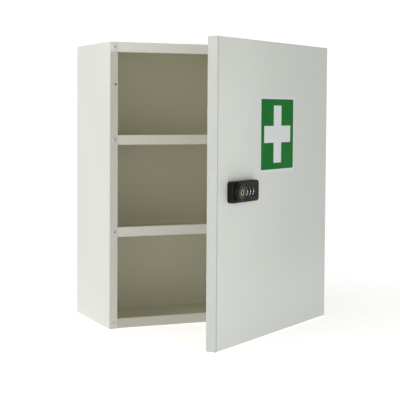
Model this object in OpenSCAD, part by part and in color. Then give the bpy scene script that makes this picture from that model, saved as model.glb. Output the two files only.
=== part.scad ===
// Lockable medicine cabinet: a folded sheet-steel case with two fixed tray shelves,
// a pan door on two knuckle hinges and a three-wheel combination cam lock.
// Millimetres. +Z up, +Y to the wall, origin at the middle of the case's underside.

/* [Case] */
// Width of the case over its side panels
cab_w = 340; // [300:5:400]
// Height of the case
cab_h = 420; // [390:5:520]
// Depth of the case from the frame's face to the wall
cab_d = 160; // [130:5:220]
// Thickness of the steel sheet
sheet = 0.8; // [0.7:0.1:1]
// Outer radius of every folded edge
bend_r = 1.2; // [1.1:0.1:1.5]

/* [Front frame and shelves] */
// Width of each upright stile
stile_w = 12.5; // [11:0.5:16]
// Height of the rails and of the shelf lips
lip_h = 14.5; // [13:0.5:18]
// Height of the upturned side and rear edges of a tray
tray_edge_h = 12; // [8:1:14]
// Outer radius of the open hem along a lip
hem_r = 1.6; // [1.4:0.1:1.8]
// Width of the side panels' rear flanges
rear_flange_w = 12; // [8:1:16]
// Diameter of a blind rivet's head
rivet_head_d = 8; // [7:0.5:9]
// Diameter of a blind rivet's shank
rivet_d = 4; // [3.2:0.1:4.2]

/* [Wall fixing] */
// Diameter of the holes for wall screws
wall_hole_d = 7; // [5:0.5:9]
// Distance between the wall holes, across
wall_hole_x = 250; // [200:10:260]
// Distance between the wall holes, up
wall_hole_z = 320; // [300:10:340]

/* [Door] */
// How far the door stands open, in degrees from shut
door_open = 36; // [0:1:90]
// Thickness of the door pan
door_t = 16; // [14:1:20]
// Gap between the shut door and the frame
door_gap = 2; // [1.8:0.1:3]
// Gap between the door's ends and the case's top and bottom planes
door_end_gap = 1; // [0.5:0.5:3]
// Width of the returns along the door's upright edges
door_return_w = 10; // [8:1:12]

/* [Hinges] */
// Length of each hinge
hinge_l = 50; // [40:1:60]
// Distance from the case's middle to each hinge's middle, up or down
hinge_offset = 135; // [110:5:140]
// Outer diameter of the knuckles
knuckle_d = 5; // [4.6:0.1:5.2]
// Diameter of the hinge pins
hinge_pin_d = 2.5; // [2:0.1:2.8]

/* [First aid label] */
// Side of the label's white film
label_w = 110; // [80:5:120]
// Side of the green square
label_green_w = 100; // [70:5:110]
// Length of the cross
cross_l = 82; // [60:1:88]
// Width of the cross's arms
cross_w = 24; // [16:1:30]
// From the door's free edge to the label's middle
label_x = 172; // [150:1:190]
// Height of the label's middle
label_z = 288; // [270:0.5:330]

/* [Lock] */
// Width of the lock's housing
lock_w = 74; // [68:1:76]
// Height of the lock's housing
lock_h = 29; // [28:1:34]
// How far the housing stands out of the door
lock_t = 9; // [8.5:0.5:10.5]
// From the door's free edge to the housing
lock_x = 27; // [26:1:30]
// Height of the lock's middle
lock_z = 212; // [200:1:230]
// Diameter of the turning knob
knob_d = 25; // [22:0.5:26]
// Height of the knob above the housing
knob_t = 6.5; // [5:0.5:9]
// Radius of the number wheels
wheel_r = 7.5; // [7.3:0.1:7.6]
// Width of a number wheel
wheel_w = 6.2; // [5:0.1:6.2]
// Distance from one wheel to the next
wheel_pitch = 8.6; // [8.6:0.1:9]
// Reach of the cam from the knob's axis
cam_reach = 38; // [36:0.5:38.5]

/* [Hidden] */

$fn = 64;
cut = 1;
paint = [0.80, 0.81, 0.78];
zinc = [0.72, 0.73, 0.74];
black_plastic = [0.06, 0.06, 0.07];

// Case
front_y = -cab_d / 2;
frame_back_y = front_y + sheet;
side_x = -cab_w / 2;
side_depth = cab_d - sheet;
inner_w = cab_w - 2 * sheet;
tray_l = cab_d - 3 * sheet;
bay_h = (cab_h - 4 * lip_h) / 3;
lower_shelf_z = lip_h + bay_h;
upper_shelf_z = 2 * (lip_h + bay_h);
rivet_inset = 7.4;
rivet_x = -side_x - rivet_inset;
rivet_zs = [lip_h / 2, lower_shelf_z + lip_h / 2, upper_shelf_z + lip_h / 2, cab_h - lip_h / 2];
rivet_head_h = 1.2;
rivet_clearance = 0.1;
rivet_tail_d = 5.5;
rivet_tail_l = 3;
mandrel_hole_d = 2.4;
hem_l = 2;
hook_hole_d = 4;
hook_hole_inset = 9.2;
hook_hole_drop = 61.5;
back_inset = 0.5;
front_notch = 4;
rear_notch = 2;

// Door, drawn shut and then turned about the hinge line
door_back_y = front_y - door_gap;
door_front_y = door_back_y - door_t;
door_h = cab_h - 2 * door_end_gap;
door_free_x = side_x;
buffer_d = 8;
buffer_gap = 0.2;
buffer_t = door_gap - buffer_gap;
buffer_inset = 6;
buffer_zs = [100, 320];

// Hinges
leaf_t = 0.8;
hinge_side_gap = 0.3;
hinge_x = -side_x + knuckle_d / 2 + hinge_side_gap;
hinge_y = front_y - door_gap / 2;
case_knuckle_l = 16;
knuckle_gap = 0.3;
door_knuckle_l = hinge_l - 2 * (case_knuckle_l + knuckle_gap);
case_leaf_w = 13.5;
door_leaf_w = 12;
knuckle_clearance = 0.5;
pin_press = 0.01;
pin_end_gap = 0.1;
pin_running = 0.06;
pin_head_d = 4;
pin_head_h = 1;

// Label
film_t = 0.2;
print_t = 0.1;
label_corner_r = 3;

// Lock housing and its rear cover, which clamp the door's sheet between them
running = 0.05;
lock_left = door_free_x + lock_x;
lock_mid_x = lock_left + lock_w / 2;
lock_front_y = door_front_y - lock_t;
lock_corner_r = 5;
lock_edge = 1.2;
cover_lap = 2;
cover_w = lock_w - 2 * cover_lap;
cover_h = lock_h - 2 * cover_lap;
lock_reach = 21.2;
cover_t = lock_reach - lock_t;
cover_wall = 2;
cover_back_t = 1.5;
cover_corner_r = 3;
cover_front_y = door_front_y + sheet;
cover_back_y = cover_front_y + cover_t;
cutout_w = cover_w - 2 * cover_wall;
cutout_h = cover_h - 2 * cover_wall;
cutout_gap = 0.2;

// Number wheels, their axle and their detent spring
wheels_inset = 36.5;
wheel_x = lock_left + wheels_inset;
wheel_proud = 2.2;
wheel_y = lock_front_y - wheel_proud + wheel_r;
wheel_clearance = 0.45;
wheel_side_gap = 0.3;
wheel_digits = 10;
groove_r = 0.8;
groove_out = 0.3;
axle_d = 3;
axle_end = 1.5;
axle_l = 3 * wheel_pitch + 2 * axle_end;
spring_t = 0.3;
spring_w = 3;
spring_end = 3;
spring_lift = 0.05;
spring_finger_w = 3;
spring_finger_l = 8.6;
spring_rise = 52;

// Knob, key cylinder, spindle and cam on one axis
knob_inset = 14.5;
knob_x = lock_left + knob_inset;
spindle_d = 8;
spindle_way = 60;
knob_gap = 0.3;
knob_back_y = lock_front_y - knob_gap;
knob_front_y = lock_front_y - knob_t;
knob_flutes = 18;
flute_r = 1.2;
flute_depth = 0.5;
knob_chamfer = 1;
cylinder_d = 16;
cylinder_t = 3.4;
plug_d = 9;
plug_seat_t = 0.5;
keyhole_w = 1.6;
keyhole_h = 6;
keyhole_deep = 2;
cam_t = 2;
cam_w = 14;
cam_tip_r = 5;
cam_stile_gap = 0.8;
cam_front_y = frame_back_y + cam_stile_gap;
cam_square = 6;
cam_shoulder = 0.2;
stub_d = 5;
stub_end = 1.2;
nut_d = 9.2;
nut_t = 3.6;
lobe_z = 5;
lobe_d = 2.4;

// Blocking slide, behind the wheels
slide_t = 1.2;
slide_y = cover_back_y - cover_back_t - slide_t - running;
slide_start = 5.2;
slide_end_room = 7;
slide_left = knob_x + slide_start;
slide_right = lock_left + lock_w - slide_end_room;
slide_h = 12;
finger_t = 0.6;
finger_l = 7.7;
finger_w = 4;
finger_clearance = 0.2;

// Screws that pull the cover to the housing
screws_inset = 28;
screw_x = lock_left + screws_inset;
screw_edge = 2.3;
screw_dz = cutout_h / 2 - screw_edge;
screw_d = 3;
screw_l = 18;
screw_head_d = 5.4;
screw_head_h = 1.8;
screw_gap = 0.1;
recess_l = 3.4;
recess_w = 0.8;
recess_deep = 0.9;

// ---- Sheet-metal profiles ----

// A quarter ring about the origin, in the +x +y quarter: one fold of the sheet
module fold2d() {
    difference() {
        intersection() {
            circle(r = bend_r);
            square(bend_r);
        }
        circle(r = bend_r - sheet);
    }
}

// A web along y with a flange towards +x at each end
module channel2d(web, flange_low, flange_high) {
    translate([0, bend_r]) square([sheet, web - 2 * bend_r]);
    translate([bend_r, 0]) square([flange_low - bend_r, sheet]);
    translate([bend_r, web - sheet]) square([flange_high - bend_r, sheet]);
    translate([bend_r, bend_r]) rotate(180) fold2d();
    translate([bend_r, web - bend_r]) rotate(90) fold2d();
}

// The open hem that makes a lip's edge safe: a half ring and a short return
module hem2d() {
    translate([hem_r, 0]) difference() {
        intersection() {
            circle(r = hem_r);
            translate([-hem_r, 0]) square([2 * hem_r, hem_r]);
        }
        circle(r = hem_r - sheet);
    }
    translate([2 * hem_r - sheet, -hem_l]) square([sheet, hem_l]);
}

// A tray's section from front to back: hemmed lip, deck, rear edge
module tray_section2d() {
    translate([bend_r, 0]) square([tray_l - 2 * bend_r, sheet]);
    translate([0, bend_r]) square([sheet, lip_h - hem_r - bend_r]);
    translate([tray_l - sheet, bend_r]) square([sheet, tray_edge_h - bend_r]);
    translate([bend_r, bend_r]) rotate(180) fold2d();
    translate([tray_l - bend_r, bend_r]) rotate(270) fold2d();
    translate([0, lip_h - hem_r]) hem2d();
}

// A tray's right-hand upturned edge, outer face at x = 0
module tray_edge2d() {
    translate([-sheet, bend_r]) square([sheet, tray_edge_h - bend_r]);
    translate([-bend_r, bend_r]) rotate(270) fold2d();
}

module rounded_rect2d(w, h, r) {
    translate([-w / 2 + r, -h / 2]) square([w - 2 * r, h]);
    translate([-w / 2, -h / 2 + r]) square([w, h - 2 * r]);
    for (x = [-1, 1], y = [-1, 1]) {
        translate([x * (w / 2 - r), y * (h / 2 - r)]) circle(r = r);
    }
}

// A cylinder along +Y from y = 0
module cyl_y(d, h) {
    rotate([-90, 0, 0]) cylinder(d = d, h = h);
}

// A flat outline in the door's plane, given thickness towards +Y from y = 0
module plate_y(t) {
    translate([0, t, 0]) rotate([90, 0, 0]) linear_extrude(t) children();
}

// ---- Case ----

module rivet_hole() {
    translate([0, front_y - cut, 0]) cyl_y(rivet_d + 2 * rivet_clearance, 2 * sheet + 2 * cut);
}

module side_panel() {
    color(paint) difference() {
        translate([side_x, front_y, 0]) linear_extrude(cab_h)
            channel2d(side_depth, stile_w, rear_flange_w);
        for (z = rivet_zs) {
            translate([-rivet_x, 0, z]) rivet_hole();
        }
        translate([side_x + hook_hole_inset, front_y - cut, cab_h - hook_hole_drop])
            cyl_y(hook_hole_d, sheet + 2 * cut);
    }
}

module left_side_panel() {
    side_panel();
}

module right_side_panel() {
    mirror([1, 0, 0]) side_panel();
}

// The deck lies at z = 0 with its lip and edges standing up
module tray() {
    deck_w = inner_w - 2 * bend_r;
    edge_l = tray_l - front_notch - rear_notch;
    edge_back_y = frame_back_y + tray_l - rear_notch;
    difference() {
        union() {
            translate([-deck_w / 2, frame_back_y, 0]) rotate([90, 0, 90]) linear_extrude(deck_w)
                tray_section2d();
            for (side = [0, 1]) {
                mirror([side, 0, 0]) translate([inner_w / 2, edge_back_y, 0]) rotate([90, 0, 0])
                    linear_extrude(edge_l) tray_edge2d();
            }
        }
        for (x = [-rivet_x, rivet_x]) {
            translate([x, 0, lip_h / 2]) rivet_hole();
        }
    }
}

module bottom_panel() {
    color(paint) tray();
}

module top_panel() {
    color(paint) translate([0, 0, cab_h]) mirror([0, 0, 1]) tray();
}

module lower_shelf() {
    color(paint) translate([0, 0, lower_shelf_z]) tray();
}

module upper_shelf() {
    color(paint) translate([0, 0, upper_shelf_z]) tray();
}

module back_panel() {
    color(paint) difference() {
        translate([side_x + back_inset, cab_d / 2 - sheet, back_inset])
            cube([cab_w - 2 * back_inset, sheet, cab_h - 2 * back_inset]);
        for (x = [-1, 1], z = [-1, 1]) {
            translate([x * wall_hole_x / 2, cab_d / 2 - sheet - cut, cab_h / 2 + z * wall_hole_z / 2])
                cyl_y(wall_hole_d, sheet + 2 * cut);
        }
    }
}

// A set blind rivet along +Y, its head's seat at y = 0
module blind_rivet() {
    dome_r = (pow(rivet_head_d / 2, 2) + pow(rivet_head_h, 2)) / (2 * rivet_head_h);
    rotate([90, 0, 0]) rotate_extrude() difference() {
        intersection() {
            translate([0, rivet_head_h - dome_r]) circle(r = dome_r, $fn = 128);
            square([rivet_head_d / 2, rivet_head_h]);
        }
        square([mandrel_hole_d / 2, rivet_head_h]);
    }
    cyl_y(rivet_d, 2 * sheet);
    translate([0, 2 * sheet, 0]) cyl_y(rivet_tail_d, rivet_tail_l);
}

module left_frame_rivets() {
    color(zinc) for (z = rivet_zs) {
        translate([-rivet_x, front_y, z]) blind_rivet();
    }
}

module right_frame_rivets() {
    mirror([1, 0, 0]) left_frame_rivets();
}

// ---- Hinges: z = 0 at the hinge's middle, drawn with the door shut ----

module leaf_plate(w, y) {
    translate([hinge_x - w, y, -hinge_l / 2]) cube([w, leaf_t, hinge_l]);
}

module knuckle(z, l) {
    translate([hinge_x, hinge_y, z]) cylinder(d = knuckle_d, h = l);
}

// Clears a leaf away from the other leaf's knuckle
module knuckle_room(z, l) {
    translate([hinge_x - knuckle_d / 2 - knuckle_clearance, hinge_y - knuckle_d, z])
        cube([2 * knuckle_d, 2 * knuckle_d, l]);
}

module pin_bore(clearance) {
    translate([hinge_x, hinge_y, -hinge_l]) cylinder(d = hinge_pin_d + 2 * clearance, h = 2 * hinge_l);
}

module case_leaf() {
    color(zinc) difference() {
        union() {
            leaf_plate(case_leaf_w, front_y - leaf_t);
            for (z = [-hinge_l / 2, hinge_l / 2 - case_knuckle_l]) {
                knuckle(z, case_knuckle_l);
            }
        }
        knuckle_room(-door_knuckle_l / 2 - knuckle_gap, door_knuckle_l + 2 * knuckle_gap);
        pin_bore(pin_press);
    }
}

module door_leaf() {
    room_l = case_knuckle_l + knuckle_gap;
    color(zinc) difference() {
        union() {
            difference() {
                leaf_plate(door_leaf_w, door_back_y);
                knuckle_room(-hinge_l / 2 - knuckle_gap, room_l + knuckle_gap);
                knuckle_room(hinge_l / 2 - room_l, room_l + knuckle_gap);
            }
            knuckle(-door_knuckle_l / 2, door_knuckle_l);
        }
        pin_bore(pin_running);
    }
}

module hinge_pin() {
    color(zinc) translate([hinge_x, hinge_y, -hinge_l / 2]) {
        cylinder(d = hinge_pin_d, h = hinge_l + pin_head_h);
        translate([0, 0, hinge_l]) cylinder(d = pin_head_d, h = pin_head_h);
    }
}

module at_upper_hinge() {
    translate([0, 0, cab_h / 2 + hinge_offset]) children();
}

module at_lower_hinge() {
    translate([0, 0, cab_h / 2 - hinge_offset]) children();
}

// ---- Door ----

// Turns what is drawn with the door shut to where the door stands
module on_door() {
    translate([hinge_x, hinge_y, 0]) rotate([0, 0, door_open]) translate([-hinge_x, -hinge_y, 0]) children();
}

// The door's section seen from above: face, edges and returns
module door_section2d() {
    return_y = door_t - sheet;
    translate([-cab_w / 2 + bend_r, 0]) square([cab_w - 2 * bend_r, sheet]);
    for (side = [0, 1]) mirror([side, 0]) translate([-cab_w / 2, 0]) {
        translate([0, bend_r]) square([sheet, door_t - 2 * bend_r]);
        translate([bend_r, return_y]) square([door_return_w - bend_r, sheet]);
        translate([bend_r, bend_r]) rotate(180) fold2d();
        translate([bend_r, door_t - bend_r]) rotate(90) fold2d();
    }
}

// Rounds the face's upper and lower edges as the other two are
module door_envelope2d() {
    translate([bend_r, 0]) square([door_t - bend_r, door_h]);
    translate([0, bend_r]) square([door_t, door_h - 2 * bend_r]);
    for (z = [bend_r, door_h - bend_r]) {
        translate([bend_r, z]) circle(r = bend_r);
    }
}

module door_end_flange2d() {
    translate([bend_r, 0]) square([door_t - bend_r, sheet]);
    translate([bend_r, bend_r]) rotate(180) fold2d();
}

module door_pan() {
    end_w = cab_w - 2 * bend_r;
    translate([0, door_front_y, door_end_gap]) {
        intersection() {
            linear_extrude(door_h) door_section2d();
            translate([-cab_w, 0, 0]) rotate([90, 0, 90]) linear_extrude(2 * cab_w) door_envelope2d();
        }
        for (end = [0, 1]) {
            translate([-end_w / 2, 0, end * door_h]) mirror([0, 0, end]) rotate([90, 0, 90])
                linear_extrude(end_w) door_end_flange2d();
        }
    }
}

module door_panel() {
    color(paint) on_door() difference() {
        door_pan();
        translate([lock_mid_x, door_front_y - cut, lock_z]) plate_y(sheet + 2 * cut)
            rounded_rect2d(cutout_w, cutout_h, cover_corner_r);
    }
}

module door_buffers() {
    color([0.85, 0.85, 0.83]) on_door() for (z = buffer_zs) {
        translate([door_free_x + buffer_inset, door_back_y, z]) cyl_y(buffer_d, buffer_t);
    }
}

module label_film() {
    color("white") on_door() translate([door_free_x + label_x, door_front_y - film_t, label_z])
        plate_y(film_t) rounded_rect2d(label_w, label_w, label_corner_r);
}

module label_green_print() {
    color([0.03, 0.38, 0.12]) on_door()
        translate([door_free_x + label_x, door_front_y - film_t - print_t, label_z]) plate_y(print_t)
            difference() {
                square(label_green_w, center = true);
                square([cross_l, cross_w], center = true);
                square([cross_w, cross_l], center = true);
            }
}

// ---- Lock ----

// Places children at the middle of the lock, y = 0 on the door's face
module at_lock() {
    translate([lock_mid_x, door_front_y, lock_z]) children();
}

// One disc for each wheel, about the wheels' own axis
module wheel_discs(r, w) {
    for (i = [0:2]) {
        translate([wheel_x + i * wheel_pitch - w / 2, wheel_y, lock_z]) rotate([0, 90, 0])
            cylinder(r = r, h = w);
    }
}

module spindle_hole() {
    translate([knob_x, knob_front_y, lock_z]) cyl_y(spindle_d + 2 * running, spindle_way);
}

module screw_places() {
    for (z = [-screw_dz, screw_dz]) {
        translate([screw_x, cover_back_y, lock_z + z]) children();
    }
}

module axle_bar(d, l) {
    translate([wheel_x + wheel_pitch - l / 2, wheel_y, lock_z]) rotate([0, 90, 0]) cylinder(d = d, h = l);
}

module lock_housing() {
    color(black_plastic) on_door() difference() {
        at_lock() {
            hull() {
                translate([0, -lock_t + lock_edge, 0]) plate_y(lock_t - lock_edge)
                    rounded_rect2d(lock_w, lock_h, lock_corner_r, $fn = 32);
                translate([0, -lock_t, 0]) plate_y(lock_edge)
                    rounded_rect2d(lock_w - 2 * lock_edge, lock_h - 2 * lock_edge,
                                   lock_corner_r - lock_edge, $fn = 32);
            }
            plate_y(sheet) rounded_rect2d(cutout_w - 2 * cutout_gap, cutout_h - 2 * cutout_gap,
                                          cover_corner_r - cutout_gap);
        }
        wheel_discs(wheel_r + wheel_clearance, wheel_w + 2 * wheel_side_gap);
        axle_bar(axle_d + 2 * pin_press, axle_l + 2 * pin_end_gap);
        spindle_hole();
        screw_places() translate([0, -screw_l - pin_end_gap, 0]) cyl_y(screw_d + 2 * pin_press, screw_l);
    }
}

module lock_rear_cover() {
    color(black_plastic) on_door() difference() {
        translate([lock_mid_x, cover_front_y, lock_z]) difference() {
            plate_y(cover_t) rounded_rect2d(cover_w, cover_h, cover_corner_r);
            translate([0, -cut, 0]) plate_y(cover_t - cover_back_t + cut)
                rounded_rect2d(cutout_w, cutout_h, cover_corner_r / 2);
        }
        spindle_hole();
        screw_places() translate([0, -cover_t, 0]) cyl_y(screw_d + 2 * screw_gap, 2 * cover_t);
    }
}

module lock_screws() {
    color(zinc) on_door() screw_places() {
        translate([0, -screw_l, 0]) cyl_y(screw_d, screw_l + screw_head_h / 2);
        difference() {
            cyl_y(screw_head_d, screw_head_h);
            for (turn = [0, 90]) {
                rotate([0, turn, 0]) translate([-recess_l / 2, screw_head_h - recess_deep, -recess_w / 2])
                    cube([recess_l, recess_deep + cut, recess_w]);
            }
        }
    }
}

module wheel_axle() {
    color(zinc) on_door() axle_bar(axle_d, axle_l);
}

// A strip on the cover's floor, with one sprung finger rising to each wheel
module wheel_detent_spring() {
    strip_y = cover_back_y - cover_back_t - spring_w;
    strip_z = lock_z - cover_h / 2 + cover_wall + spring_lift;
    color(zinc) on_door() {
        translate([wheel_x - spring_end, strip_y, strip_z])
            cube([2 * (wheel_pitch + spring_end), spring_w, spring_t]);
        for (i = [0:2]) {
            translate([wheel_x + i * wheel_pitch - spring_finger_w / 2, strip_y, strip_z])
                rotate([-spring_rise, 0, 0]) translate([0, -spring_finger_l, 0])
                    cube([spring_finger_w, spring_finger_l, spring_t]);
        }
    }
}

// A plate behind the wheels with a finger beside each, pushed along by the spindle's lobe
module blocking_slide() {
    color(zinc) on_door() {
        translate([slide_left, slide_y, lock_z - slide_h / 2])
            cube([slide_right - slide_left, slide_t, slide_h]);
        for (i = [0:2]) {
            translate([wheel_x + i * wheel_pitch + wheel_w / 2 + finger_clearance, slide_y - finger_l,
                       lock_z - finger_w / 2])
                cube([finger_t, finger_l + slide_t, finger_w]);
        }
    }
}

module lock_knob() {
    rim_t = knob_t - knob_gap - knob_chamfer;
    color(black_plastic) on_door() translate([knob_x, 0, lock_z]) difference() {
        union() {
            translate([0, knob_back_y - rim_t, 0]) cyl_y(knob_d, rim_t);
            translate([0, knob_front_y, 0]) rotate([-90, 0, 0])
                cylinder(d1 = knob_d - 2 * knob_chamfer, d2 = knob_d, h = knob_chamfer);
        }
        translate([0, knob_front_y - cut, 0]) cyl_y(cylinder_d + 2 * pin_press, cylinder_t + cut);
        translate([0, knob_front_y, 0]) cyl_y(spindle_d + 2 * pin_press, knob_t);
        for (i = [0:knob_flutes - 1]) {
            rotate([0, i * 360 / knob_flutes, 0])
                translate([knob_d / 2 + flute_r - flute_depth, knob_front_y - cut, 0])
                    cyl_y(2 * flute_r, knob_t + cut);
        }
    }
}

module key_cylinder() {
    color([0.62, 0.52, 0.32]) on_door() translate([knob_x, knob_front_y, lock_z]) difference() {
        cyl_y(cylinder_d, cylinder_t);
        translate([0, -cut, 0]) cyl_y(plug_d + 2 * running, cylinder_t - plug_seat_t + cut);
    }
}

module key_plug() {
    color([0.75, 0.72, 0.62]) on_door() translate([knob_x, knob_front_y, lock_z]) difference() {
        cyl_y(plug_d, cylinder_t - plug_seat_t - pin_end_gap);
        translate([-keyhole_w / 2, -cut, -keyhole_h / 2])
            cube([keyhole_w, keyhole_deep + cut, keyhole_h]);
    }
}

// A cam lobe of the spindle that bears on the end of the blocking slide
module lobe() {
    plate_y(slide_t) {
        translate([0, lobe_z]) circle(d = lobe_d);
        translate([-lobe_d / 2, 0]) square([lobe_d, lobe_z]);
    }
}

module lock_spindle() {
    back_y = cam_front_y - cam_shoulder;
    color(zinc) on_door() translate([knob_x, 0, lock_z]) {
        translate([0, knob_front_y + cylinder_t, 0])
            cyl_y(spindle_d, back_y - knob_front_y - cylinder_t);
        translate([-cam_square / 2, back_y - cut, -cam_square / 2])
            cube([cam_square, cam_t + cam_shoulder + cut - pin_end_gap, cam_square]);
        translate([0, back_y, 0]) cyl_y(stub_d, cam_t + nut_t + stub_end);
        translate([0, slide_y, 0]) lobe();
    }
}

// Hangs straight down while the lock is open
module lock_cam() {
    color(zinc) on_door() translate([knob_x, cam_front_y, lock_z]) difference() {
        plate_y(cam_t) {
            circle(d = cam_w);
            translate([-cam_w / 2, -cam_reach + cam_tip_r]) square([cam_w, cam_reach - cam_tip_r]);
            translate([-cam_w / 2 + cam_tip_r, -cam_reach]) square([cam_w - 2 * cam_tip_r, cam_reach]);
            for (x = [-1, 1]) {
                translate([x * (cam_w / 2 - cam_tip_r), -cam_reach + cam_tip_r]) circle(r = cam_tip_r);
            }
        }
        translate([-cam_square / 2 - pin_press, -cut, -cam_square / 2 - pin_press])
            cube([cam_square + 2 * pin_press, cam_t + 2 * cut, cam_square + 2 * pin_press]);
    }
}

module cam_nut() {
    color(zinc) on_door() translate([knob_x, cam_front_y + cam_t, lock_z]) difference() {
        rotate([-90, 0, 0]) cylinder(d = nut_d, h = nut_t, $fn = 6);
        translate([0, -cut, 0]) cyl_y(stub_d + 2 * pin_press, nut_t + 2 * cut);
    }
}

module number_wheel(i) {
    color(black_plastic) on_door() translate([wheel_x + i * wheel_pitch - wheel_w / 2, wheel_y, lock_z])
        rotate([0, 90, 0]) difference() {
            cylinder(r = wheel_r, h = wheel_w);
            translate([0, 0, -cut]) cylinder(d = axle_d + 2 * pin_running, h = wheel_w + 2 * cut);
            for (k = [1:wheel_digits]) {
                rotate(k * 360 / wheel_digits) translate([wheel_r + groove_out, 0, -cut])
                    cylinder(r = groove_r, h = wheel_w + 2 * cut, $fn = 24);
            }
        }
}

left_side_panel();
right_side_panel();
top_panel();
bottom_panel();
back_panel();
upper_shelf();
lower_shelf();
left_frame_rivets();
right_frame_rivets();
at_upper_hinge() case_leaf();  // upper_hinge_case_leaf
at_lower_hinge() case_leaf();  // lower_hinge_case_leaf
at_upper_hinge() hinge_pin();  // upper_hinge_pin
at_lower_hinge() hinge_pin();  // lower_hinge_pin
door_panel();
at_upper_hinge() on_door() door_leaf();  // upper_hinge_door_leaf
at_lower_hinge() on_door() door_leaf();  // lower_hinge_door_leaf
door_buffers();
label_film();
label_green_print();
lock_housing();
lock_rear_cover();
lock_screws();
wheel_axle();
wheel_detent_spring();
blocking_slide();
lock_knob();
key_cylinder();
key_plug();
lock_spindle();
lock_cam();
cam_nut();
number_wheel(0);  // left_number_wheel
number_wheel(1);  // middle_number_wheel
number_wheel(2);  // right_number_wheel
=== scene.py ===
import bpy
import bmesh
import math
from mathutils import Matrix, Vector


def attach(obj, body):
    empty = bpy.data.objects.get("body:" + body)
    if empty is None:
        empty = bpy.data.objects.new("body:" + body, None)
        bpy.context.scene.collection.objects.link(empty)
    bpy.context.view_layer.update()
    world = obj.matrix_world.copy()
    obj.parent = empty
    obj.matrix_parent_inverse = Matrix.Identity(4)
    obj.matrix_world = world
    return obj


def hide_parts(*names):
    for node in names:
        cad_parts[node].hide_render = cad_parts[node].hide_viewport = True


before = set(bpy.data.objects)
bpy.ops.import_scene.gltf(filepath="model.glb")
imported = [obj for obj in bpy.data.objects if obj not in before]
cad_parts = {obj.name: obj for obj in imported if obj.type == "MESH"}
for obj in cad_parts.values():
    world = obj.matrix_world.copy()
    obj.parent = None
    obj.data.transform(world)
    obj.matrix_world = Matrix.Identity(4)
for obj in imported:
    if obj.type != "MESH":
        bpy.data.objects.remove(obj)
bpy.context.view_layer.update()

mm = 0.001


# Small helpers for modelling

def clearPick():
    bpy.ops.object.select_all(action="DESELECT")


def only(piece):
    clearPick()
    piece.select_set(True)
    bpy.context.view_layer.objects.active = piece


def edit(piece, kind="FACE"):
    only(piece)
    bpy.ops.object.mode_set(mode="EDIT")
    bpy.ops.mesh.select_mode(type=kind)
    bpy.ops.mesh.select_all(action="DESELECT")


def leave():
    bpy.ops.object.mode_set(mode="OBJECT")


def pickFaces(piece, test):
    mesh = bmesh.from_edit_mesh(piece.data)
    for face in mesh.faces:
        face.select = test(face.calc_center_median(), face.normal)
    bmesh.update_edit_mesh(piece.data)


def pickEdges(piece, test):
    mesh = bmesh.from_edit_mesh(piece.data)
    for edge in mesh.edges:
        a, b = edge.verts
        edge.select = test((a.co + b.co) / 2, (b.co - a.co).normalized())
    mesh.select_flush_mode()
    bmesh.update_edit_mesh(piece.data)


def weld(piece):
    edit(piece, "VERT")
    bpy.ops.mesh.select_all(action="SELECT")
    bpy.ops.mesh.remove_doubles(threshold=0.004 * mm)
    bpy.ops.mesh.normals_make_consistent(inside=False)
    leave()


def settle(piece):
    only(piece)
    bpy.ops.object.transform_apply(location=True, rotation=True, scale=True)


def applyModifier(piece, kind, **settings):
    only(piece)
    modifier = piece.modifiers.new(kind.lower(), kind)
    for key, value in settings.items():
        setattr(modifier, key, value)
    bpy.ops.object.modifier_apply(modifier=modifier.name)


def smooth(piece, angle):
    only(piece)
    bpy.ops.object.shade_smooth_by_angle(angle=math.radians(angle))


def softenEdges(piece, width):
    applyModifier(piece, "BEVEL", width=width, segments=2, limit_method="ANGLE",
                  angle_limit=math.radians(40), use_clamp_overlap=True)
    smooth(piece, 35)


def carve(piece, cutter):
    applyModifier(piece, "BOOLEAN", operation="DIFFERENCE", object=cutter, solver="EXACT")
    bpy.data.objects.remove(cutter)


def joined(pieces, name):
    clearPick()
    for piece in pieces:
        piece.select_set(True)
    bpy.context.view_layer.objects.active = pieces[0]
    if len(pieces) > 1:
        bpy.ops.object.join()
    pieces[0].name = name
    return pieces[0]


def copyOf(piece, name):
    twin = piece.copy()
    twin.data = piece.data.copy()
    twin.name = name
    bpy.context.scene.collection.objects.link(twin)
    return twin


def rod(name, radius, depth, place=(0, 0, 0), axis="Z", sides=40):
    turn = {"X": (0, math.pi / 2, 0), "Y": (math.pi / 2, 0, 0), "Z": (0, 0, 0)}[axis]
    clearPick()
    bpy.ops.mesh.primitive_cylinder_add(vertices=sides, radius=radius, depth=depth,
                                        location=place, rotation=turn)
    piece = bpy.context.object
    piece.name = name
    settle(piece)
    return piece


def block(name, size, place, turn=0.0):
    clearPick()
    bpy.ops.mesh.primitive_cube_add(size=1, location=place, rotation=(0, 0, turn), scale=size)
    piece = bpy.context.object
    piece.name = name
    settle(piece)
    return piece


def turned(name, steps, sides):
    # steps are (radius, height) up the Z axis, from the first face to the last
    clearPick()
    radius, height = steps[0]
    bpy.ops.mesh.primitive_circle_add(vertices=sides, radius=radius, fill_type="NGON",
                                      location=(0, 0, height))
    piece = bpy.context.object
    piece.name = name
    settle(piece)
    edit(piece)
    bpy.ops.mesh.select_all(action="SELECT")
    for newRadius, newHeight in steps[1:]:
        bpy.ops.mesh.extrude_region_move(
            TRANSFORM_OT_translate={"value": (0, 0, newHeight - height)})
        ratio = newRadius / radius
        bpy.ops.transform.resize(value=(ratio, ratio, 1), center_override=(0, 0, 0))
        radius, height = newRadius, newHeight
    leave()
    weld(piece)
    return piece


def inMm(steps):
    return [(radius * mm, height * mm) for radius, height in steps]


def evenly(count, reach, first=0.0):
    # Even places round the Z axis, as x, y and angle. The first one is that part of a step on.
    for i in range(count):
        angle = 2 * math.pi * (i + first) / count
        yield reach * math.cos(angle), reach * math.sin(angle), angle


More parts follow.
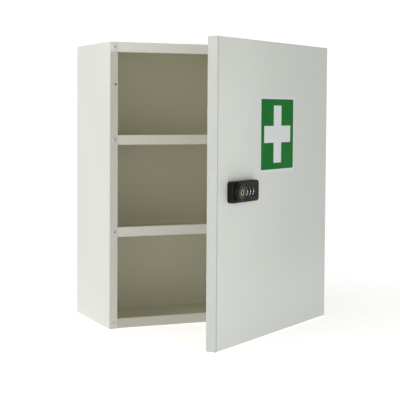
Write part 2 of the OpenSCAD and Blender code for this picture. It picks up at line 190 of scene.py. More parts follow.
def faceForward(piece, place):
    # A turned piece's +Z becomes -Y, towards the user, and its origin goes to place
    only(piece)
    piece.matrix_world = Matrix.Translation(place) @ Matrix.Rotation(math.pi / 2, 4, "X")
    settle(piece)


def finishPiece(piece, body, slot, *nodes):
    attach(piece, body)
    if nodes:
        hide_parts(*nodes)


# Everything on the door is modelled with the door shut and turned to its rest pose

doorSwing = {"hinge": Vector((0.1728, -0.081, 0)), "angle": math.radians(36)}
swing = (Matrix.Translation(doorSwing["hinge"]) @ Matrix.Rotation(doorSwing["angle"], 4, "Z")
         @ Matrix.Translation(-doorSwing["hinge"]))


def hang(piece, body, slot, *nodes):
    only(piece)
    piece.matrix_world = swing @ piece.matrix_world
    settle(piece)
    finishPiece(piece, body, slot, *nodes)


# Shader shorthand

class Value:
    # One output socket that Python's arithmetic can work on

    def __init__(self, shop, socket):
        self.shop = shop
        self.socket = socket

    def step(self, operation, first, second):
        return self.shop.add("ShaderNodeMath", {"operation": operation}, {0: first, 1: second})

    def __add__(self, other):
        return self.step("ADD", self, other)

    __radd__ = __add__

    def __sub__(self, other):
        return self.step("SUBTRACT", self, other)

    def __rsub__(self, other):
        return self.step("SUBTRACT", other, self)

    def __mul__(self, other):
        return self.step("MULTIPLY", self, other)

    __rmul__ = __mul__

    def __pow__(self, other):
        return self.step("POWER", self, other)

    def __gt__(self, other):
        return self.step("GREATER_THAN", self, other)

    def __lt__(self, other):
        return self.step("LESS_THAN", self, other)

    def __abs__(self):
        return self.step("ABSOLUTE", self, 0.0)

    def wave(self):
        return self.step("SINE", self, 0.0)

    def most(self, other):
        return self.step("MAXIMUM", self, other)


class Finish:
    # A material, or the world, and its nodes

    def __init__(self, owner, kind="ShaderNodeOutputMaterial"):
        owner.use_nodes = True
        self.owner = owner
        self.tree = owner.node_tree
        self.tree.nodes.clear()
        self.output = self.tree.nodes.new(kind)

    def add(self, kind, settings=None, sockets=None, out=0):
        node = self.tree.nodes.new(kind)
        for key, value in (settings or {}).items():
            setattr(node, key, value)
        for key, value in (sockets or {}).items():
            self.set(node.inputs[key], value)
        return Value(self, node.outputs[out])

    def set(self, socket, value):
        if isinstance(value, Value):
            self.tree.links.new(value.socket, socket)
        elif socket.type == "RGBA" and len(value) == 3:
            socket.default_value = (*value, 1.0)
        else:
            socket.default_value = value

    def place(self):
        return self.add("ShaderNodeTexCoord", out="Object")

    def doorPlace(self):
        # Places on the shut door, measured from the hinge's axis
        fromHinge = self.add("ShaderNodeVectorMath", {"operation": "SUBTRACT"}, {
            0: self.place(), 1: tuple(doorSwing["hinge"])})
        return self.add("ShaderNodeMapping", {}, {
            "Vector": fromHinge, "Rotation": (0, 0, -doorSwing["angle"])})

    def axes(self, vector):
        parts = self.add("ShaderNodeSeparateXYZ", {}, {0: vector}).socket.node.outputs
        return [Value(self, part) for part in parts]

    def noise(self, where, scale, detail=2.0, roughness=0.5):
        return self.add("ShaderNodeTexNoise", {}, {
            "Vector": where, "Scale": scale, "Detail": detail, "Roughness": roughness})

    def ramp(self, value, low, high):
        return self.add("ShaderNodeMapRange", {"interpolation_type": "SMOOTHSTEP"}, {
            "Value": value, "From Min": low, "From Max": high})

    def blend(self, factor, first, second):
        return self.add("ShaderNodeMix", {"data_type": "RGBA"},
                        {0: factor, 6: first, 7: second}, 2)

    def bump(self, height, distance, strength=1.0, under=None):
        sockets = {"Height": height, "Distance": distance, "Strength": strength}
        if under is not None:
            sockets["Normal"] = under
        return self.add("ShaderNodeBump", {}, sockets)

    def close(self, value):
        self.tree.links.new(value.socket, self.output.inputs["Surface"])
        return self.owner

    def surface(self, **sockets):
        return self.close(self.add("ShaderNodeBsdfPrincipled", {}, {
            key.replace("_", " "): value for key, value in sockets.items()}))


def newFinish(name):
    return Finish(bpy.data.materials.new(name))


def paintNodes(material, *nodes):
    for node in nodes:
        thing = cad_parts[node]
        if not thing.material_slots:
            thing.data.materials.append(None)
        for slot in thing.material_slots:
            slot.material = material


# Powder coat on the sheet steel

powderCoat = {
    "colour": (0.770, 0.785, 0.748),
    "shadowed": (0.742, 0.755, 0.712),
    # From inside to grime, these tones are painted light and shade for how the light falls; the
    # bare edge is also the cut steel, and the grime also dirt
    "inside": (0.812, 0.788, 0.637),
    "stile": (0.640, 0.626, 0.590),
    "stileTop": (0.567, 0.562, 0.504),
    "corner": (0.745, 0.735, 0.710),
    "bareEdgeAndShade": (0.10, 0.10, 0.10),
    "head": (0.795, 0.808, 0.795),
    "shelfLip": (0.708, 0.716, 0.655),
    "sill": (0.528, 0.522, 0.460),
    "doorEdgeShade": (0.638, 0.658, 0.636),
    "fold": (0.30, 0.31, 0.28),
    "hingeSideShade": (0.705, 0.720, 0.684),
    "foot": (0.815, 0.828, 0.800),
    "grimeAndShade": (0.42, 0.41, 0.36),
    "roughness": 0.46,
    "peelSize": 1.3 * mm,
    "peelDepth": 0.072 * mm,
    "waveSize": 90 * mm,
    "waveDepth": 0.12 * mm,
}

# Where the tone changes on the case, in metres from the middle of its underside.
# A pair is where a change begins and where it is complete.
caseZones = {
    "innerX": 0.1696, "innerFloor": 0.0004, "innerTop": 0.4196, "innerBack": 0.0796,
    "within": (-0.0790, -0.0785), "frameFace": (-0.0785, -0.0790), "frameX": 0.1692,
    "stile": (0.1570, 0.1576), "stileTop": (0.22, 0.40), "corner": (0.404, 0.408),
    "head": (0.404, 0.406), "lipsFrom": 0.1, "lipsTo": 0.3,
    "holeX": -0.1608, "holeZ": 0.3585, "holeRim": (0.0023, 0.0021),
    "cutFrom": -0.07995, "cutTo": -0.0786,
    "outerEdge": (0.1672, 0.1698), "outerEdgeY": -0.0788, "foot": (0.0030, 0.0005),
}

# The same on the shut door, from the hinge's axis
doorZones = {
    "hingeShadeUp": (0.03, 0.17), "hingeShadeAcross": (-0.33, -0.09), "hingeShadeTop": (0.26, 0.40),
    "foot": (0.16, 0.04), "freeEdge": (-0.3420, -0.3427),
    "foldOuter": (-0.3408, -0.3414), "foldInner": (-0.34279, -0.3424),
    "foldFront": (-0.0155, -0.0162),
    "handZ": 0.205, "handUp": (0.11, 0.03), "handAcross": (-0.285, -0.335),
    "worn": (-0.339, -0.3425),
}


def caseTones(f, where, coat, rub):
    # The coat's colour all over the case, with its painted light and shade, and how much dirt and
    # painted shade lies on it
    p, zone = powderCoat, caseZones
    x, y, z = f.axes(where)
    # Painted light: inside the case the coat is warmer and yellower than outside, standing in for
    # the warm light within the case
    within = f.ramp(y, *zone["within"]) * (abs(x) < zone["innerX"]) * (z > zone["innerFloor"]) \
        * (z < zone["innerTop"]) * (y < zone["innerBack"])
    coat = f.blend(within * 0.9, coat, p["inside"])
    # Painted shade and light on the frame's face, for how the light falls on it: darker than the
    # sides, the stiles darker still towards their tops, the header rail and the stiles' top
    # corners lighter, the shelf lips a little darker and the sill darkest of all
    face = f.ramp(y, *zone["frameFace"]) * (abs(x) < zone["frameX"])
    stile = f.ramp(abs(x), *zone["stile"])
    stileCoat = f.blend(f.ramp(z, *zone["stileTop"]), p["stile"], p["stileTop"])
    stileCoat = f.blend(f.ramp(z, *zone["corner"]), stileCoat, p["corner"])
    coat = f.blend(face * stile, coat, stileCoat)
    lip = face * (1 - stile)
    coat = f.blend(lip * f.ramp(z, *zone["head"]), coat, p["head"])
    coat = f.blend(lip * (z > zone["lipsFrom"]) * (z < zone["lipsTo"]), coat, p["shelfLip"])
    coat = f.blend(lip * (z < zone["lipsFrom"]), coat, p["sill"])
    # The hole punched in the left stile shows its bare cut edge, painted near black: the cut
    # steel, and painted shade in the hole
    across, up = x - zone["holeX"], z - zone["holeZ"]
    punched = f.ramp((across * across + up * up) ** 0.5, *zone["holeRim"]) * (y < zone["cutTo"])
    coat = f.blend(punched * (y > zone["cutFrom"]), coat, p["bareEdgeAndShade"])
    # Patchy dirt and painted shade on the frame's outer folds, and painted shade along the foot
    # where the case meets the floor
    edge = f.ramp(abs(x), *zone["outerEdge"]) * (y < zone["outerEdgeY"])
    return coat, (edge * f.ramp(rub, 0.50, 0.72)).most(f.ramp(z, *zone["foot"]))


def doorTones(f, where, coat, rub):
    # The coat's colour all over the door, and how much dirt lies on it
    p, zone = powderCoat, doorZones
    x, y, z = f.axes(where)
    # Painted shade: the upper part towards the hinges is darker than the rest, a little less so
    # near the top
    dull = f.ramp(z, *zone["hingeShadeUp"]) * f.ramp(x, *zone["hingeShadeAcross"]) \
        * (1 - f.ramp(z, *zone["hingeShadeTop"]) * 0.25)
    # Painted light: the door is lighter towards its foot
    coat = f.blend(f.ramp(z, *zone["foot"]) * 0.6, coat, p["foot"])
    coat = f.blend(dull, coat, p["hingeSideShade"])
    # Painted shade: the free edge's narrow side is darker, and the tight fold beside it a darker
    # line, a painted dark reflection
    coat = f.blend(f.ramp(x, *zone["freeEdge"]), coat, p["doorEdgeShade"])
    fold = f.ramp(x, *zone["foldOuter"]) * f.ramp(x, *zone["foldInner"]) \
        * f.ramp(y, *zone["foldFront"])
    coat = f.blend(fold * 0.6, coat, p["fold"])
    # Hands touch the free edge and the sheet round the lock
    byHand = f.ramp(abs(z - zone["handZ"]), *zone["handUp"]) * f.ramp(x, *zone["handAcross"])
    return coat, (byHand * 0.55 + f.ramp(x, *zone["worn"])) * f.ramp(rub, 0.46, 0.78)


def makePowderCoat(name, onDoor):
    f = newFinish(name)
    p = powderCoat
    where = f.doorPlace() if onDoor else f.place()
    drift = f.noise(where, 7.0, 3.0)
    speck = f.noise(where, 900.0, 2.0, 0.6)
    rub = f.noise(where, 60.0, 5.0, 0.65)
    mottle = f.ramp(drift * 0.8 + speck * 0.2, 0.32, 0.68)
    plain = f.blend(mottle, p["shadowed"], p["colour"])
    colour, grimeAndShade = (doorTones if onDoor else caseTones)(f, where, plain, rub)
    sheetWave = f.bump(f.noise(where, 1 / p["waveSize"], 1.0), p["waveDepth"], 0.6)
    peel = f.noise(where, 1 / p["peelSize"], 2.0, 0.45)
    fine = f.noise(where, 4.0 / p["peelSize"], 1.0)
    # Blended in by the last mask, the dark tone is dirt on the door, and on the case also painted
    # shade along the outer folds and the foot
    return f.surface(
        Base_Color=f.blend(grimeAndShade * 0.16, colour, p["grimeAndShade"]),
        Roughness=p["roughness"] + (speck - 0.5) * 0.10 + (drift - 0.5) * 0.14 - grimeAndShade * 0.06,
        Normal=f.bump(peel * 0.8 + fine * 0.2, p["peelDepth"], 0.55, sheetWave),
        Metallic=0.0, IOR=1.48)


caseCoat = makePowderCoat("case_powder_coat", False)
doorCoat = makePowderCoat("door_powder_coat", True)
paintNodes(caseCoat, "left_side_panel", "right_side_panel", "top_panel", "bottom_panel",
           "back_panel", "upper_shelf", "lower_shelf", "left_frame_rivets",
           "right_frame_rivets", "upper_hinge_case_leaf", "lower_hinge_case_leaf")
paintNodes(doorCoat, "door_panel", "upper_hinge_door_leaf", "lower_hinge_door_leaf")
print("powder coat on the case and the door")


# Zinc-plated steel on the hinge pins and the works of the lock

zincPlate = {"pins": (0.58, 0.59, 0.60), "works": (0.62, 0.61, 0.57), "dull": (0.40, 0.40, 0.39),
             "roughness": 0.36}


def makeZinc(name, bright, grain):
    f = newFinish(name)
    where = f.place()
    spangle = f.add("ShaderNodeTexVoronoi", {"feature": "F1"}, {"Vector": where, "Scale": grain})
    stain = f.noise(where, 90.0, 4.0, 0.6)
    scratch = f.noise(f.add("ShaderNodeMapping", {}, {"Vector": where, "Scale": (1, 1, 14)}),
                      500.0, 2.0)
    return f.surface(
        Base_Color=f.blend(f.ramp(stain, 0.35, 0.7), bright, zincPlate["dull"]),
        Roughness=zincPlate["roughness"] + (spangle - 0.3) * 0.12 + (stain - 0.5) * 0.2,
        Metallic=1.0, Normal=f.bump(scratch * 0.6 + stain * 0.4, 0.02 * mm, 0.35))


paintNodes(makeZinc("hinge_zinc", zincPlate["pins"], 700.0), "upper_hinge_pin", "lower_hinge_pin")
paintNodes(makeZinc("lock_zinc", zincPlate["works"], 1600.0), "lock_screws", "wheel_axle",
           "wheel_detent_spring", "blocking_slide", "lock_spindle", "lock_cam", "cam_nut")
print("zinc on the hinge pins and the lock's works")


# Blind rivets of the frame: domed painted heads round thinly painted mandrel stubs

rivet = {
    "headRadius": 4.0 * mm, "headHeight": 1.2 * mm, "holeRadius": 1.2 * mm,
    "holeDepth": 1.0 * mm, "shankRadius": 2.0 * mm, "grip": 1.6 * mm,
    "tailRadius": 2.7 * mm, "tailLength": 3.0 * mm, "stubLength": 0.45 * mm,
    "x": 162.6 * mm, "face": -80.0 * mm, "heights": (7.25, 142.417, 277.583, 412.75),
    "stubDark": (0.13, 0.13, 0.125), "stubPale": (0.26, 0.26, 0.25),
}


def modelRivet():
    r = rivet
    back = r["grip"] + r["tailLength"]
    steps = [
        (r["tailRadius"] * 0.55, -back), (r["tailRadius"] * 0.9, -back + 0.3 * mm),
        (r["tailRadius"], -back + 1.1 * mm), (r["tailRadius"] * 0.93, -r["grip"] - 0.4 * mm),
        (r["shankRadius"], -r["grip"]), (r["shankRadius"], 0.0),
        (r["headRadius"] * 0.98, 0.0), (r["headRadius"], 0.18 * mm),
        (r["headRadius"] * 0.93, 0.45 * mm), (r["headRadius"] * 0.76, 0.80 * mm),
        (r["headRadius"] * 0.55, 1.05 * mm), (r["holeRadius"] * 1.25, r["headHeight"]),
        (r["holeRadius"], r["headHeight"] - 0.10 * mm),
        (r["holeRadius"] * 0.97, r["headHeight"] - r["holeDepth"]),
    ]
    return turned("rivet", steps, 32)


def modelMandrel():
    r = rivet
    depth = r["headHeight"] - r["holeDepth"]
    top = depth + r["stubLength"]
    steps = [(r["holeRadius"] * 0.86, depth - 0.05 * mm), (r["holeRadius"] * 0.86, top),
             (r["holeRadius"] * 0.70, top + 0.10 * mm), (r["holeRadius"] * 0.30, top - 0.05 * mm)]
    return turned("mandrel", steps, 20)


def makeMandrelSteel():
    f = newFinish("mandrel_steel")
    where = f.place()
    height = f.axes(where)[2]
    grit = f.noise(where, 2500.0, 3.0)
    thinPaint = f.blend(grit, rivet["stubDark"], rivet["stubPale"])
    # The lowest stubs are nearly covered, in the stile's tone, which carries the stile's painted
    # shade
    lowest = f.ramp(height, 0.10, 0.05)
    return f.surface(Base_Color=f.blend(lowest * 0.8, thinPaint, powderCoat["stile"]),
                     Roughness=0.45 + grit * 0.2, Normal=f.bump(grit, 0.03 * mm, 0.6))


mandrelSteel = makeMandrelSteel()
oneRivet, oneMandrel = modelRivet(), modelMandrel()
for side, name in ((-1, "left"), (1, "right")):
    heads, stubs = [], []
    for height in rivet["heights"]:
        spot = Vector((side * rivet["x"], rivet["face"], height * mm))
        heads.append(copyOf(oneRivet, "head"))
        faceForward(heads[-1], spot)
        stubs.append(copyOf(oneMandrel, "stub"))
        faceForward(stubs[-1], spot)
    heads = joined(heads, name + "Rivets")
    smooth(heads, 40)
    heads.data.materials.append(caseCoat)
    finishPiece(heads, "case", "paint", name + "_frame_rivets")
    stubs = joined(stubs, name + "MandrelStubs")
    stubs.data.materials.append(mandrelSteel)
    finishPiece(stubs, "case", "bare_steel")
bpy.data.objects.remove(oneRivet)
bpy.data.objects.remove(oneMandrel)
print("rivets")


# Rubber bumpers on the door's return

bumper = {"x": -164.0 * mm, "back": -82.0 * mm, "heights": (100.0, 320.0),
          "radius": 4.0 * mm, "thick": 1.8 * mm,
          "colour": (0.60, 0.60, 0.57), "dusty": (0.72, 0.72, 0.69)}


def makeRubber():
    f = newFinish("bumper_rubber")
    dust = f.noise(f.place(), 1200.0, 4.0, 0.6)
    return f.surface(
        Base_Color=f.blend(dust, bumper["colour"], bumper["dusty"]),
        Roughness=0.55 + dust * 0.2, Normal=f.bump(dust, 0.03 * mm, 0.4),
        Subsurface_Weight=0.15, Subsurface_Radius=(0.002, 0.002, 0.002))


def modelBumper(height):
    radius, thick = bumper["radius"], bumper["thick"]
    pad = turned("pad", [(radius, 0), (radius, thick * 0.45), (radius * 0.96, thick * 0.72),
                         (radius * 0.84, thick * 0.90), (radius * 0.62, thick * 0.98),
                         (radius * 0.30, thick)], 40)
    only(pad)
    pad.matrix_world = (Matrix.Translation((bumper["x"], bumper["back"], height * mm))
                        @ Matrix.Rotation(-math.pi / 2, 4, "X"))
    settle(pad)
    return pad


pads = joined([modelBumper(height) for height in bumper["heights"]], "doorBumpers")
smooth(pads, 40)
pads.data.materials.append(makeRubber())
hang(pads, "door", "buffer_rubber", "door_buffers")
print("bumpers")


# First aid label

label = {
    "x": 2.0 * mm, "z": 288.0 * mm, "dirtyRim": (0.0530, 0.0550),
    "filmGrey": (0.760, 0.768, 0.796), "filmWhite": (0.795, 0.800, 0.824),
    "rimDirt": (0.60, 0.60, 0.58),
    "inkDark": (0.009, 0.168, 0.026), "inkPale": (0.013, 0.196, 0.032),
}


def makeVinyl():
    f = newFinish("label_vinyl")
    where = f.doorPlace()
    x, _, z = f.axes(where)
    cloud = f.noise(where, 40.0, 3.0)
    labelX = label["x"] - doorSwing["hinge"].x
    fromMiddle = abs(x - labelX).most(abs(z - label["z"]))
    film = f.blend(cloud, label["filmGrey"], label["filmWhite"])
    return f.surface(
        Base_Color=f.blend(f.ramp(fromMiddle, *label["dirtyRim"]) * 0.35, film, label["rimDirt"]),
        Roughness=0.42 + cloud * 0.10,
        Normal=f.bump(f.noise(where, 500.0, 2.0), 0.02 * mm, 0.3), IOR=1.38)


def makeGreenInk():
    f = newFinish("label_green_ink")
    where = f.place()
    cloud = f.noise(where, 30.0, 4.0)
    screen = f.noise(where, 1800.0, 1.0)
    return f.surface(
        Base_Color=f.blend(f.ramp(cloud * 0.85 + screen * 0.15, 0.3, 0.7), label["inkDark"],
                           label["inkPale"]),
        Roughness=0.50 + screen * 0.10,
        Normal=f.bump(f.noise(where, 500.0, 2.0), 0.02 * mm, 0.3), Specular_IOR_Level=0.05)


paintNodes(makeVinyl(), "label_film")
paintNodes(makeGreenInk(), "label_green_print")
print("label")


# The lock's moulded black housing and the wheels' room in it, in mm

lock = {
    "left": -143.0, "width": 74.0, "height": 29.0, "thick": 9.0, "z": 212.0, "face": -98.0,
    "corner": 5.0, "frontEdge": 1.5, "tongueInset": 4.2, "tongue": 0.8, "softEdge": 0.22,
    "knobX": -128.5, "seatRadius": 13.1, "seatDepth": 0.5, "spindleRadius": 4.05,
    "wheelX": -106.5, "pitch": 8.6,
}
lock["front"] = lock["face"] - lock["thick"]
wheelSize = {
    "radius": 7.5, "width": 6.2, "proud": 2.2, "bore": 1.56, "gap": 0.45, "sideGap": 0.3,
    "grooveRadius": 0.8, "grooveOut": 0.3, "edge": 0.45, "rim": (0.12, 0.13), "digits": 10,
}
wheelSize["y"] = lock["front"] - wheelSize["proud"] + wheelSize["radius"]


blackPlastic = {
    "housing": {"dark": (0.010, 0.010, 0.011), "pale": (0.018, 0.018, 0.019),
                "roughness": 0.46, "grain": 3200.0, "depth": 0.020},
    "knob": {"dark": (0.011, 0.011, 0.012), "pale": (0.019, 0.019, 0.020),
             "roughness": 0.38, "grain": 4200.0, "depth": 0.012},
    "wheel": {"dark": (0.007, 0.007, 0.008), "pale": (0.013, 0.013, 0.014),
              "roughness": 0.30, "grain": 4200.0, "depth": 0.008},
    "dust": (0.25, 0.25, 0.24),
}


def makePlastic(part):
    f = newFinish(part + "_plastic")
    p = blackPlastic[part]
    where = f.place()
    fine = f.noise(where, p["grain"], 2.0, 0.6)
    patch = f.noise(where, 70.0, 4.0, 0.6)
    fleck = f.ramp(f.noise(where, 1500.0, 1.0), 0.70, 0.78)
    plain = f.blend(f.ramp(patch, 0.35, 0.70), p["dark"], p["pale"])
    return f.surface(Base_Color=f.blend(fleck * 0.06, plain, blackPlastic["dust"]),
                     Roughness=p["roughness"] + (patch - 0.5) * 0.16 + (fine - 0.5) * 0.1,
                     Normal=f.bump(fine, p["depth"] * mm, 0.5), Specular_IOR_Level=0.13)


housingPlastic = makePlastic("housing")
knobPlastic = makePlastic("knob")
wheelPlastic = makePlastic("wheel")
paintNodes(housingPlastic, "lock_rear_cover")


def atLock(x, y):
    return Vector((x * mm, y * mm, lock["z"] * mm))


def wheelPlace(i):
    return atLock(lock["wheelX"] + i * lock["pitch"], wheelSize["y"])


def modelHousing():
    w = wheelSize
    housing = block("lockHousing",
                    (lock["width"] * mm, lock["thick"] * mm, lock["height"] * mm),
                    atLock(lock["left"] + lock["width"] / 2, lock["face"] - lock["thick"] / 2))
    # Round the four corners, then the rim of the front face
    edit(housing, "EDGE")
    pickEdges(housing, lambda middle, along: abs(along.y) > 0.9)
    bpy.ops.mesh.bevel(offset=lock["corner"] * mm, segments=10, affect="EDGES")
    leave()
    edit(housing, "EDGE")
    pickEdges(housing, lambda middle, along:
              middle.y < (lock["front"] + 0.1) * mm and abs(along.y) < 0.1)
    bpy.ops.mesh.bevel(offset=lock["frontEdge"] * mm, segments=5, affect="EDGES")
    leave()
    # The tongue behind fills the cut-out in the door
    edit(housing)
    pickFaces(housing, lambda middle, normal: normal.y > 0.9)
    bpy.ops.mesh.inset(thickness=lock["tongueInset"] * mm)
    bpy.ops.mesh.extrude_region_move(
        TRANSFORM_OT_translate={"value": (0, lock["tongue"] * mm, 0)})
    leave()
    weld(housing)
    for i in range(3):
        carve(housing, rod("well", (w["radius"] + w["gap"]) * mm,
                           (w["width"] + 2 * w["sideGap"]) * mm, wheelPlace(i), "X", 64))
    carve(housing, rod("seat", lock["seatRadius"] * mm, 2 * lock["seatDepth"] * mm,
                       atLock(lock["knobX"], lock["front"]), "Y", 72))
    carve(housing, rod("shaftHole", lock["spindleRadius"] * mm, 60 * mm,
                       atLock(lock["knobX"], lock["face"]), "Y"))
    softenEdges(housing, lock["softEdge"] * mm)
    return housing


housing = modelHousing()
housing.data.materials.append(housingPlastic)
hang(housing, "door", "black_plastic", "lock_housing")
print("lock housing")


# The lock's fluted knob, its brass key cylinder and nickel plug, in mm

knob = {
    "radius": 12.5, "gap": 0.3, "height": 6.5, "chamfer": 1.0, "recess": 0.35,
    "flutes": 18, "fluteRadius": 1.2, "fluteDepth": 0.55, "bore": 4.01, "softEdge": 0.15,
}
keyCylinder = {
    "radius": 8.0, "depth": 3.4, "teeth": 24, "toothReach": 6.18, "toothZ": 3.0,
    "tooth": (1.2, 0.45, 0.5), "softEdge": 0.06,
    "bright": (0.24, 0.19, 0.12), "dark": (0.07, 0.055, 0.035), "roughness": 0.34,
    "toolMarks": 0.22, "recess": 7.5,
}
keyPlug = {
    "radius": 4.5, "depth": 2.9, "keyhole": (1.6, 6.0, 2.6), "keyholeZ": 2.2, "softEdge": 0.08,
    "bright": (0.36, 0.34, 0.28), "dark": (0.15, 0.135, 0.11), "roughness": 0.30,
    "toolMarks": 0.18, "recess": 3.0,
}
knob["back"] = lock["front"] - knob["gap"]
knob["front"] = lock["front"] - knob["height"]


def modelKnob():
    radius, seat = knob["radius"], keyCylinder["radius"]
    rise = knob["back"] - knob["front"]
    sunk = rise - knob["recess"]
    steps = [(radius, 0), (radius, rise - knob["chamfer"]), (radius - 0.30, rise - 0.45),
             (radius - 0.95, rise), (radius - 1.9, rise), (radius - 2.2, sunk),
             (seat + 0.55, sunk), (seat + 0.35, rise - 0.1), (seat + 0.01, rise - 0.1),
             (seat + 0.01, rise - keyCylinder["depth"])]
    grip = turned("knob", inMm(steps), 144)
    reach = radius + knob["fluteRadius"] - knob["fluteDepth"]
    cutters = [rod("flute", knob["fluteRadius"] * mm, 30 * mm, (x * mm, y * mm, 0), "Z", 24)
               for x, y, _ in evenly(knob["flutes"], reach)]
    carve(grip, joined(cutters, "flutes"))
    carve(grip, rod("shaftHole", knob["bore"] * mm, 40 * mm))
    softenEdges(grip, knob["softEdge"] * mm)
    return grip


def modelKeyCylinder():
    steps = [(7.99, 0), (7.99, 3.15), (7.80, 3.38), (7.40, 3.38), (7.05, 2.95), (5.30, 2.95),
             (5.10, 3.20), (4.80, 3.30), (4.551, 3.20), (4.551, 0.5)]
    ring = turned("keyCylinder", inMm(steps), 96)
    tooth = [side * mm for side in keyCylinder["tooth"]]
    teeth = [block("tooth", tooth, (x * mm, y * mm, keyCylinder["toothZ"] * mm), angle)
             for x, y, angle in evenly(keyCylinder["teeth"], keyCylinder["toothReach"], 0.5)]
    carve(ring, joined(teeth, "teeth"))
    softenEdges(ring, keyCylinder["softEdge"] * mm)
    return ring


def modelKeyPlug():
    radius = keyPlug["radius"]
    steps = [(radius, 0), (radius, 2.60), (radius - 0.18, 2.80), (2.2, 2.80), (1.75, 2.45),
             (1.6, 0.9)]
    plug = turned("keyPlug", inMm(steps), 64)
    carve(plug, block("keyhole", [side * mm for side in keyPlug["keyhole"]],
                      (0, 0, keyPlug["keyholeZ"] * mm)))
    softenEdges(plug, keyPlug["softEdge"] * mm)
    return plug


def makeTurnedMetal(name, part):
    # Fine concentric tool marks about the knob's axis, and tarnish in the recess
    f = newFinish(name)
    where = f.doorPlace()
    x, _, z = f.axes(where)
    across = x - (lock["knobX"] * mm - doorSwing["hinge"].x)
    up = z - lock["z"] * mm
    radius = (across * across + up * up) ** 0.5
    rings = (radius * (2 * math.pi / (part["toolMarks"] * mm))).wave()
    tarnish = f.noise(where, 350.0, 4.0, 0.65)
    recess = f.ramp(radius, part["recess"] * mm, (part["recess"] - 0.6) * mm)
    mask = f.ramp(tarnish * 0.6 + recess * 0.5, 0.35, 0.85)
    return f.surface(Base_Color=f.blend(mask, part["bright"], part["dark"]),
                     Roughness=part["roughness"] + mask * 0.18, Metallic=1.0,
                     Normal=f.bump(rings * 0.5 + tarnish * 0.3, 0.012 * mm, 0.4))


grip = modelKnob()
grip.data.materials.append(knobPlastic)
faceForward(grip, atLock(lock["knobX"], knob["back"]))
hang(grip, "knob", "black_plastic", "lock_knob")

ring = modelKeyCylinder()
ring.data.materials.append(makeTurnedMetal("cylinder_brass", keyCylinder))
faceForward(ring, atLock(lock["knobX"], knob["front"] + keyCylinder["depth"]))
hang(ring, "knob", "lock_brass", "key_cylinder")

plug = modelKeyPlug()
plug.data.materials.append(makeTurnedMetal("plug_nickel", keyPlug))
faceForward(plug, atLock(lock["knobX"], knob["front"] + keyPlug["depth"]))
hang(plug, "plug", "plug_nickel", "key_plug")
print("knob, cylinder and plug")


# The lock's number wheels and their printed digits, in mm

digit = {"size": 5.4, "narrowed": 0.92, "bolder": 0.13, "lift": 0.03, "depth": 0.12,
         "slices": 8, "paint": (0.80, 0.80, 0.78), "worn": (0.30, 0.30, 0.30)}


def modelWheel():
    w = wheelSize
    radius, edge, half = w["radius"], w["edge"], w["width"] / 2
    rimIn, rimUp = w["rim"]
    steps = [(radius - edge, -half), (radius - rimIn, -half + rimUp), (radius, -half + edge),
             (radius, half - edge), (radius - rimIn, half - rimUp), (radius - edge, half)]
    wheel = turned("wheel", inMm(steps), 120)
    cutters = [rod("groove", w["grooveRadius"] * mm, 3 * w["width"] * mm, (x * mm, y * mm, 0),
                   "Z", 20)
               for x, y, _ in evenly(w["digits"], radius + w["grooveOut"], 0.5)]
    carve(wheel, joined(cutters, "grooves"))
    carve(wheel, rod("bore", w["bore"] * mm, 3 * w["width"] * mm, sides=32))
    softenEdges(wheel, 0.08 * mm)
    return wheel


def modelDigit(number):
    # Laid in XZ facing -Y, sliced across, then bent round the wheel
    clearPick()
    bpy.ops.object.text_add(location=(0, 0, 0))
    figure = bpy.context.object
    figure.data.body = str(number)
    figure.data.size = digit["size"] * mm
    figure.data.align_x = "CENTER"
    figure.data.align_y = "CENTER"
    figure.data.extrude = digit["depth"] / 2 * mm
    figure.data.offset = digit["bolder"] * mm
    figure.data.resolution_u = 3
    only(figure)
    bpy.ops.object.convert(target="MESH")
    figure = bpy.context.object
    figure.matrix_world = (Matrix.Rotation(math.pi / 2, 4, "X")
                           @ Matrix.Scale(digit["narrowed"], 4))
    settle(figure)
    edit(figure, "VERT")
    bpy.ops.mesh.select_all(action="SELECT")
    bpy.ops.mesh.remove_doubles(threshold=0.002 * mm)
    heights = [corner.co.z for corner in bmesh.from_edit_mesh(figure.data).verts]
    low, high = min(heights), max(heights)
    for i in range(1, digit["slices"]):
        bpy.ops.mesh.select_all(action="SELECT")
        level = low + (high - low) * i / digit["slices"]
        bpy.ops.mesh.bisect(plane_co=(0, 0, level), plane_no=(0, 0, 1))
    leave()
    figure.matrix_world = Matrix.Translation((0, 0, -(low + high) / 2))
    settle(figure)
    applyModifier(figure, "SIMPLE_DEFORM", deform_method="BEND", deform_axis="X",
                  angle=(high - low) / (wheelSize["radius"] * mm))
    return figure


def modelDigits():
    # All the figures round one wheel
    out = wheelSize["radius"] + digit["lift"]
    lift = Matrix.Translation((0, -out * mm + digit["depth"] / 2 * mm, 0))
    figures = []
    for number in range(wheelSize["digits"]):
        figure = modelDigit(number)
        turn = Matrix.Rotation(-2 * math.pi * number / wheelSize["digits"], 4, "X")
        figure.matrix_world = turn @ lift
        settle(figure)
        figures.append(figure)
    return joined(figures, "digits")


def makeDigitPaint():
    f = newFinish("digit_paint")
    wear = f.noise(f.place(), 1400.0, 4.0, 0.7)
    return f.surface(Base_Color=f.blend(f.ramp(wear, 0.60, 0.74), digit["paint"], digit["worn"]),
                     Roughness=0.40 + wear * 0.2, Normal=f.bump(wear, 0.01 * mm, 0.4))


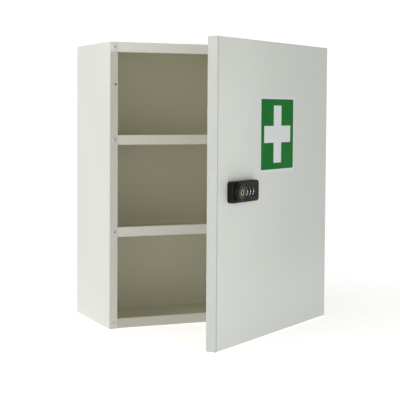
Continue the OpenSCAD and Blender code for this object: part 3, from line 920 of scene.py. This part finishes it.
digitPaint = makeDigitPaint()
oneWheel, oneDigits = modelWheel(), modelDigits()
for i, name in enumerate(("left", "middle", "right")):
    place = Matrix.Translation(wheelPlace(i))
    # All three stand at 0, with the wheel's first land to the front
    wheel = copyOf(oneWheel, name + "NumberWheel")
    wheel.matrix_world = (place @ Matrix.Rotation(math.pi / 2, 4, "X")
                          @ Matrix.Rotation(math.pi / 2, 4, "Y"))
    wheel.data.materials.append(wheelPlastic)
    hang(wheel, name + "_wheel", "wheel_plastic", name + "_number_wheel")
    figures = copyOf(oneDigits, name + "WheelDigits")
    figures.matrix_world = place
    figures.data.materials.append(digitPaint)
    hang(figures, name + "_wheel", "wheel_plastic")
bpy.data.objects.remove(oneWheel)
bpy.data.objects.remove(oneDigits)
print("number wheels")


# Floor, light and camera

studio = {
    "floorColour": (0.87, 0.87, 0.865), "floorPale": (0.88, 0.88, 0.875),
    "nearGlow": (0.575, 0.575, 0.575), "farGlow": (0.665, 0.665, 0.665), "glowFrom": 0.2,
    "glowTo": 0.8,
    "behind": (1.02, 1.02, 1.02), "left": (1.06, 1.05, 1.035), "above": (0.19, 0.205, 0.175),
    "around": (0.43, 0.43, 0.43),
}
softBoxes = {
    "doorLight": {"place": (-0.02, -0.60, 0.30), "aim": (-0.09, -0.27, 0.02),
                  "size": (0.40, 0.20), "power": 0.28, "colour": (0.93, 1.0, 0.96)},
    "headLight": {"place": (-0.19, -0.33, 0.75), "aim": (-0.02, -0.08, 0.40),
                  "size": (0.25, 0.15), "power": 0.60, "colour": (1.0, 0.87, 0.68)},
}
cameraSetup = {"place": (-0.7196, -1.6994, 0.3225), "yaw": 23.167, "pitch": -2.854,
               "roll": 0.369, "lens": 105.45, "shift": -0.08}


def makeFloorPaper():
    f = newFinish("studio_floor")
    where = f.place()
    x, y, _ = f.axes(where)
    paper = f.noise(where, 9.0, 3.0)
    far = f.ramp((x * x + y * y) ** 0.5, studio["glowFrom"], studio["glowTo"])
    return f.surface(
        Base_Color=f.blend(paper, studio["floorColour"], studio["floorPale"]), Roughness=0.9,
        Emission_Color=f.blend(far, studio["nearGlow"], studio["farGlow"]),
        Emission_Strength=1.0, Specular_IOR_Level=0.0)


def makeSky():
    # A white sweep behind the cabinet, a bright left wall, and paler light all round and above
    world = bpy.data.worlds.new("studio")
    bpy.context.scene.world = world
    w = Finish(world, "ShaderNodeOutputWorld")
    x, y, z = w.axes(w.add("ShaderNodeTexCoord", out="Generated"))
    behind = w.ramp(y, 0.45, 0.80)
    front = 1 - behind
    toLeft = w.ramp(x, -0.2, -0.9)
    weights = {"behind": behind, "left": front * toLeft, "above": front * w.ramp(z, 0.5, 0.95),
               "around": front * (1 - toLeft) * w.ramp(z, 0.7, 0.2)}
    sky = (0.0, 0.0, 0.0)
    for side, weight in weights.items():
        part = w.add("ShaderNodeVectorMath", {"operation": "SCALE"},
                     {0: studio[side], "Scale": weight})
        sky = w.add("ShaderNodeVectorMath", {"operation": "ADD"}, {0: sky, 1: part})
    w.close(w.add("ShaderNodeBackground", {}, {"Color": sky, "Strength": 1.0}))


def hangLight(name, box):
    light = bpy.data.lights.new(name, "AREA")
    light.shape = "RECTANGLE"
    light.size, light.size_y = box["size"]
    light.energy = box["power"]
    light.color = box["colour"]
    lamp = bpy.data.objects.new(name, light)
    bpy.context.scene.collection.objects.link(lamp)
    lamp.location = box["place"]
    lamp.visible_camera = False
    toAim = Vector(box["aim"]) - Vector(box["place"])
    lamp.rotation_euler = toAim.to_track_quat("-Z", "Y").to_euler()


def placeCamera():
    yaw, pitch, roll = (math.radians(cameraSetup[turn]) for turn in ("yaw", "pitch", "roll"))
    ahead = Vector((math.sin(yaw) * math.cos(pitch), math.cos(yaw) * math.cos(pitch),
                    math.sin(pitch)))
    level = Vector((math.cos(yaw), -math.sin(yaw), 0))
    over = level.cross(ahead)
    rightward = level * math.cos(roll) + over * math.sin(roll)
    upward = over * math.cos(roll) - level * math.sin(roll)
    cameraData = bpy.data.cameras.new("camera")
    cameraData.lens = cameraSetup["lens"]
    cameraData.sensor_width = 36.0
    cameraData.shift_y = cameraSetup["shift"]
    camera = bpy.data.objects.new("camera", cameraData)
    bpy.context.scene.collection.objects.link(camera)
    camera.matrix_world = Matrix.Translation(cameraSetup["place"]) @ Matrix(
        (rightward, upward, -ahead)).transposed().to_4x4()
    bpy.context.scene.camera = camera


clearPick()
bpy.ops.mesh.primitive_plane_add(size=24, location=(0, 0, -0.4 * mm))
floor = bpy.context.object
floor.name = "studioFloor"
floor.data.materials.append(makeFloorPaper())
makeSky()
for name, box in softBoxes.items():
    hangLight(name, box)
placeCamera()
bpy.context.scene.view_settings.view_transform = "Standard"
print("studio")
